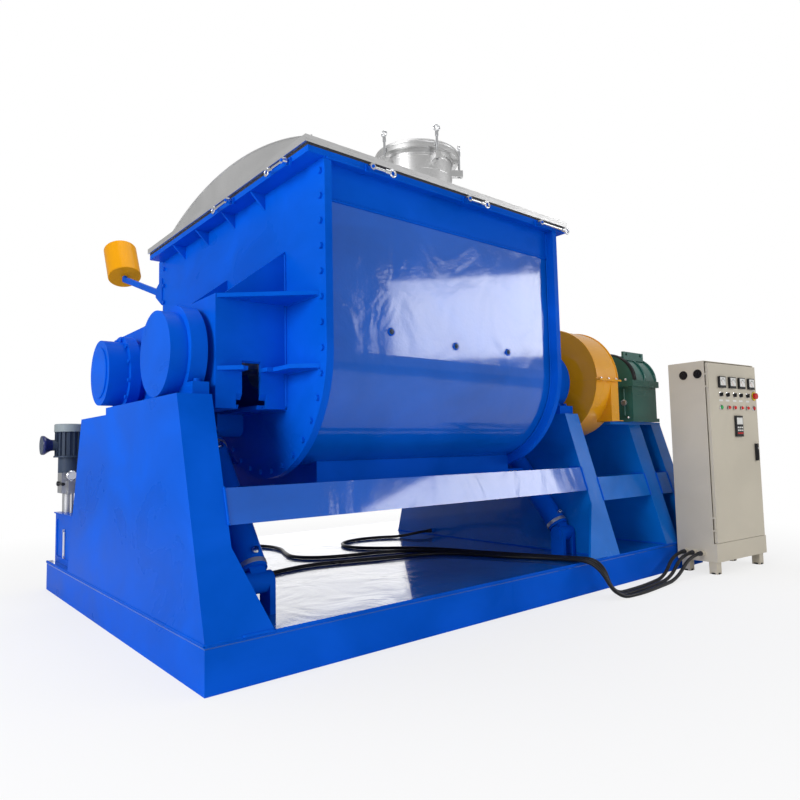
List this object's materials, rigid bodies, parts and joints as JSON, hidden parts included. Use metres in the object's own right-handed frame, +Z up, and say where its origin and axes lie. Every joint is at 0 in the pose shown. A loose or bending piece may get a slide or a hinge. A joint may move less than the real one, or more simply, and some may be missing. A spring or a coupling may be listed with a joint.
{
  "type": "kneading machine",
  "caption": "Tilting double-sigma-blade kneading machine: jacketed trough with hinged lid on a welded base, geared rotor drive, tilting cylinders and a separate control cabinet.",
  "frame": {"origin": "middle of the welded base, on the floor", "axes": "+Z up, +X along the rotor shafts towards the drive, +Y from the operator side to the rear"},
  "size_m": [4.5698, 3.825, 2.8669],
  "materials": {
    "blue_paint": "gloss blue paint",
    "stainless": "brushed stainless steel",
    "machined_steel": "machined steel",
    "cast_metal": "plain casting",
    "orange_paint": "gloss yellow-orange paint",
    "green_paint": "gloss dark green paint",
    "grey_paint": "grey paint",
    "navy_paint": "dark blue paint",
    "cabinet_paint": "fine textured beige powder coat",
    "chrome_steel": "bright plated steel",
    "black_rubber": "smooth black sheath",
    "gasket_rubber": "dark sealing rubber",
    "black_plastic": "matt black",
    "red_plastic": "gloss red",
    "green_plastic": "gloss green",
    "motor_paint": "gloss blue paint"
  },
  "bodies": {
    "machine_frame": {"base_frame": "blue_paint", "deck_plate": "blue_paint", "left_stand": "blue_paint", "right_stand": "blue_paint", "tie_beam": "blue_paint", "trunnion_bearings": "blue_paint", "reducer_case": "green_paint", "reducer_cover": "green_paint", "guard_upper": "orange_paint", "guard_lower": "orange_paint", "drive_motor": "motor_paint", "hydraulic_tank": "blue_paint", "pump_motor": "grey_paint", "valve_block": "machined_steel", "cylinder_clevises": "blue_paint", "cabinet_body": "cabinet_paint", "power_cable_1": "black_rubber", "power_cable_2": "black_rubber", "power_cable_3": "black_rubber"},
    "motor_line": {"motor_coupling": "machined_steel"},
    "barrels": {"cylinder_barrels": "blue_paint"},
    "rods": {"cylinder_rods": "chrome_steel"},
    "lever": {"valve_lever": "black_plastic"},
    "door": {"cabinet_door": "cabinet_paint", "panel_instruments": "black_plastic"},
    "handle": {"door_handle": "black_plastic"},
    "knob_1": {"selector_knob_1": "black_plastic"},
    "knob_2": {"selector_knob_2": "black_plastic"},
    "knob_3": {"selector_knob_3": "black_plastic"},
    "knob_4": {"selector_knob_4": "black_plastic"},
    "knob_5": {"selector_knob_5": "black_plastic"},
    "stop_knob": {"emergency_stop": "red_plastic"},
    "start_push": {"start_button": "green_plastic"},
    "stop_push": {"stop_button": "red_plastic"},
    "trough": {"trough_shell": "blue_paint", "end_plates": "blue_paint", "heating_jacket": "blue_paint", "bearing_bracket": "blue_paint", "gear_case": "blue_paint", "rotor_bearings": "machined_steel", "packing_glands": "machined_steel", "end_plate_bolts": "chrome_steel", "tilt_cradle": "blue_paint"},
    "bolt_front_1": {"lid_bolt_front_1": "chrome_steel"},
    "bolt_front_2": {"lid_bolt_front_2": "chrome_steel"},
    "bolt_front_3": {"lid_bolt_front_3": "chrome_steel"},
    "bolt_left_1": {"lid_bolt_left_1": "chrome_steel"},
    "bolt_left_2": {"lid_bolt_left_2": "chrome_steel"},
    "front_rotor_line": {"front_rotor": "stainless", "front_gear": "cast_metal", "drive_coupling": "machined_steel"},
    "rear_rotor_line": {"rear_rotor": "stainless", "rear_gear": "cast_metal"},
    "lid": {"lid_shell": "stainless", "lid_gasket": "gasket_rubber", "lid_arms": "blue_paint", "counterweights": "orange_paint", "manhole_neck": "stainless", "manhole_bolts": "chrome_steel"},
    "manhole_lid": {"manhole_cover": "stainless"}
  },
  "joints": [
    {"name": "trough_tilt", "type": "hinge", "parent": "machine_frame", "child": "trough", "pos_m": [0, -0.825, 1.452], "axis": [1, 0, 0], "range_deg": [0, 90]},
    {"name": "rear_rotor_spin", "type": "hinge", "parent": "trough", "child": "rear_rotor_line", "pos_m": [0, 0.075, 1.452], "axis": [1, 0, 0], "continuous": true},
    {"name": "front_rotor_spin", "type": "hinge", "parent": "trough", "child": "front_rotor_line", "pos_m": [0, -0.825, 1.452], "axis": [1, 0, 0], "continuous": true},
    {"name": "motor_spin", "type": "hinge", "parent": "machine_frame", "child": "motor_line", "pos_m": [0, 0.175, 1.452], "axis": [1, 0, 0], "continuous": true},
    {"name": "barrel_swing", "type": "hinge", "parent": "machine_frame", "child": "barrels", "pos_m": [0, -1.125, 0.352], "axis": [1, 0, 0], "range_deg": [0, 13.1]},
    {"name": "rod_stroke", "type": "slide", "parent": "barrels", "child": "rods", "axis": [0, 0.6151, 0.7885], "range_m": [0, 0.575]},
    {"name": "lid_hinge", "type": "hinge", "parent": "trough", "child": "lid", "pos_m": [0, 0.797, 2.16], "axis": [-1, 0, 0], "range_deg": [0, 75]},
    {"name": "manhole_hinge", "type": "hinge", "parent": "lid", "child": "manhole_lid", "pos_m": [-0.49701, -0.77761, 2.752], "axis": [-0.9659, 0.2588, 0], "range_deg": [0, 100]},
    {"name": "bolt_front_1_swing", "type": "hinge", "parent": "trough", "child": "bolt_front_1", "pos_m": [-1.264, -1.491, 2.372], "axis": [0, -1, 0], "range_deg": [0, 90]},
    {"name": "bolt_front_2_swing", "type": "hinge", "parent": "trough", "child": "bolt_front_2", "pos_m": [-0.575, -1.491, 2.372], "axis": [0, -1, 0], "range_deg": [0, 90]},
    {"name": "bolt_front_3_swing", "type": "hinge", "parent": "trough", "child": "bolt_front_3", "pos_m": [0.072, -1.491, 2.372], "axis": [0, -1, 0], "range_deg": [0, 90]},
    {"name": "bolt_left_1_swing", "type": "hinge", "parent": "trough", "child": "bolt_left_1", "pos_m": [-1.649, -1.289, 2.372], "axis": [1, 0, 0], "range_deg": [0, 90]},
    {"name": "bolt_left_2_swing", "type": "hinge", "parent": "trough", "child": "bolt_left_2", "pos_m": [-1.649, -0.663, 2.372], "axis": [1, 0, 0], "range_deg": [0, 90]},
    {"name": "valve_lever_swing", "type": "hinge", "parent": "machine_frame", "child": "lever", "pos_m": [-2.05, 1.295, 0.77], "axis": [1, 0, 0], "range_deg": [-25, 25]},
    {"name": "door_hinge", "type": "hinge", "parent": "machine_frame", "child": "door", "pos_m": [1.65746, -1.74666, 0], "axis": [0, 0, -1], "range_deg": [0, 110]},
    {"name": "handle_turn", "type": "hinge", "parent": "door", "child": "handle", "pos_m": [2.29691, -1.80413, 0.884], "axis": [-0.0802, -0.9968, 0], "range_deg": [0, 90]},
    {"name": "selector_1_turn", "type": "hinge", "parent": "door", "child": "knob_1", "pos_m": [1.82045, -1.76579, 1.329], "axis": [-0.0802, -0.9968, 0], "range_deg": [-45, 45]},
    {"name": "selector_2_turn", "type": "hinge", "parent": "door", "child": "knob_2", "pos_m": [1.91514, -1.77341, 1.329], "axis": [-0.0802, -0.9968, 0], "range_deg": [-45, 45]},
    {"name": "selector_3_turn", "type": "hinge", "parent": "door", "child": "knob_3", "pos_m": [2.01781, -1.78167, 1.329], "axis": [-0.0802, -0.9968, 0], "range_deg": [-45, 45]},
    {"name": "selector_4_turn", "type": "hinge", "parent": "door", "child": "knob_4", "pos_m": [2.11051, -1.78913, 1.329], "axis": [-0.0802, -0.9968, 0], "range_deg": [-45, 45]},
    {"name": "selector_5_turn", "type": "hinge", "parent": "door", "child": "knob_5", "pos_m": [2.21417, -1.79747, 1.329], "axis": [-0.0802, -0.9968, 0], "range_deg": [-45, 45]},
    {"name": "emergency_stop_press", "type": "slide", "parent": "door", "child": "stop_knob", "axis": [0.0802, 0.9968, 0], "range_m": [0, 0.005], "stiffness_N_per_m": 2000, "springref_m": -0.001},
    {"name": "start_press", "type": "slide", "parent": "door", "child": "start_push", "axis": [0.0802, 0.9968, 0], "range_m": [0, 0.005], "stiffness_N_per_m": 800, "springref_m": -0.001},
    {"name": "stop_press", "type": "slide", "parent": "door", "child": "stop_push", "axis": [0.0802, 0.9968, 0], "range_m": [0, 0.005], "stiffness_N_per_m": 800, "springref_m": -0.001}
  ],
  "couplings": [
    {"joint": "front_rotor_spin", "follows": "rear_rotor_spin", "ratio": -1.5},
    {"joint": "motor_spin", "follows": "rear_rotor_spin", "ratio": -37.5},
    {"joint": "barrel_swing", "follows": "trough_tilt", "ratio": 0.145},
    {"joint": "rod_stroke", "follows": "trough_tilt", "m_per_rad": 0.3654}
  ]
}
